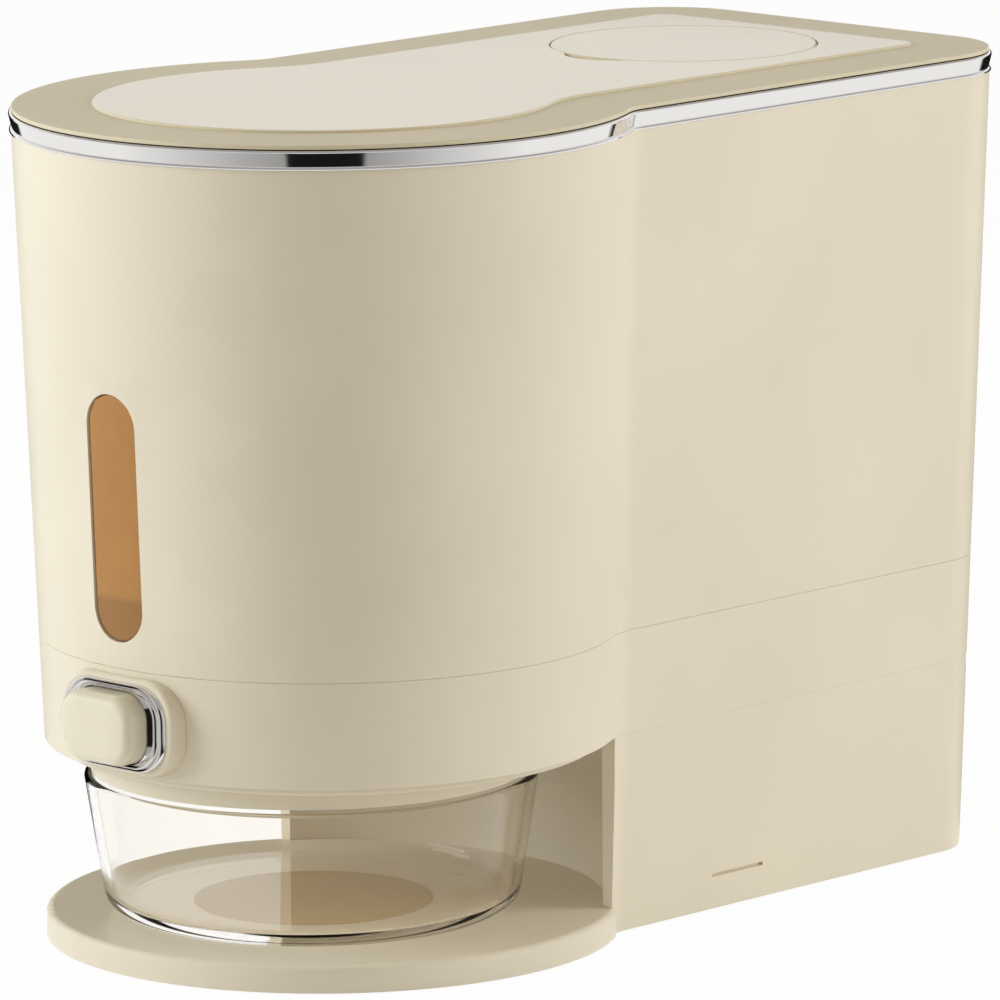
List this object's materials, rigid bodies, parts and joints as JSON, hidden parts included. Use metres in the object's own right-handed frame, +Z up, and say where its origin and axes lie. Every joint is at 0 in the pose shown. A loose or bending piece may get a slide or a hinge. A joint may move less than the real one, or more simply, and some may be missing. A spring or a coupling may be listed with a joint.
{
  "type": "rice storage dispenser",
  "caption": "Countertop rice dispenser with a keyhole-plan hopper housing, plug lid, push-button shutter and a glass bowl in an open alcove below.",
  "frame": {"origin": "centre of the footprint's bounding box, on the worktop plane under the feet", "axes": "+Z up, front with the push button faces -Y, +X to the right of someone facing +Y"},
  "size_m": [0.181, 0.3186, 0.2444],
  "materials": {
    "cream_shell": "injection-moulded ABS, warm cream, satin to gloss",
    "cream_lid": "injection-moulded ABS, warm cream, satin",
    "cream_liner": "injection-moulded polypropylene, cream, matt",
    "cream_button": "injection-moulded ABS, warm cream, gloss",
    "amber_clear": "translucent amber polystyrene, polished",
    "plated_trim": "bright plated ABS trim",
    "collar_plastic": "injection-moulded ABS, cream, gloss",
    "bowl_glass": "clear pressed glass, fire-polished lip",
    "soft_rubber": "moulded rubber, pale grey, matt",
    "mat_rubber": "moulded silicone rubber, grey-brown, matt",
    "silicone": "translucent white silicone",
    "spring_steel": "drawn stainless spring wire",
    "screw_steel": "zinc-plated steel screws"
  },
  "bodies": {
    "housing": {"lower_shell": "cream_shell", "upper_shell": "cream_shell", "trim_band": "plated_trim", "base_plate": "cream_shell", "rubber_feet": "soft_rubber", "base_screws": "screw_steel", "bowl_mat": "mat_rubber", "under_cover": "cream_shell", "under_cover_screws": "screw_steel", "outlet_collar": "collar_plastic", "gate_base": "cream_liner", "gate_screws": "screw_steel", "pivot_screw": "screw_steel", "button_boss": "cream_shell", "button_bezel": "plated_trim", "window_lens": "amber_clear", "hopper": "amber_clear", "hopper_seal": "silicone", "return_spring": "spring_steel"},
    "button": {"button_cap": "cream_button", "pusher": "cream_liner"},
    "gate_shutter": {"shutter": "cream_liner"},
    "lid": {"lid_cover": "cream_lid", "lid_liner": "cream_liner", "lid_seal": "silicone", "desiccant_cup": "cream_liner"},
    "desiccant_lid": {"desiccant_cap": "cream_lid"},
    "bowl": {"glass_bowl": "bowl_glass"}
  },
  "joints": [
    {"name": "button_press", "type": "slide", "parent": "housing", "child": "button", "axis": [0, 1, 0], "range_m": [0, 0.008], "stiffness_N_per_m": 300, "springref_m": -0.004, "deforming": ["return_spring"]},
    {"name": "shutter_swing", "type": "hinge", "parent": "housing", "child": "gate_shutter", "pos_m": [-0.051, -0.07159, 0.073], "axis": [0, 0, 1], "range_deg": [0, 36.2]},
    {"name": "lid_lift", "type": "slide", "parent": "housing", "child": "lid", "axis": [0, 0, 1], "range_m": [0, 0.06]},
    {"name": "cap_lift", "type": "slide", "parent": "lid", "child": "desiccant_lid", "axis": [0, 0, 1], "range_m": [0, 0.03]},
    {"name": "bowl_slide", "type": "slide", "parent": "housing", "child": "bowl", "axis": [0, -1, 0], "range_m": [0, 0.16]}
  ],
  "couplings": [
    {"joint": "shutter_swing", "follows": "button_press", "rad_per_m": 78.2}
  ]
}
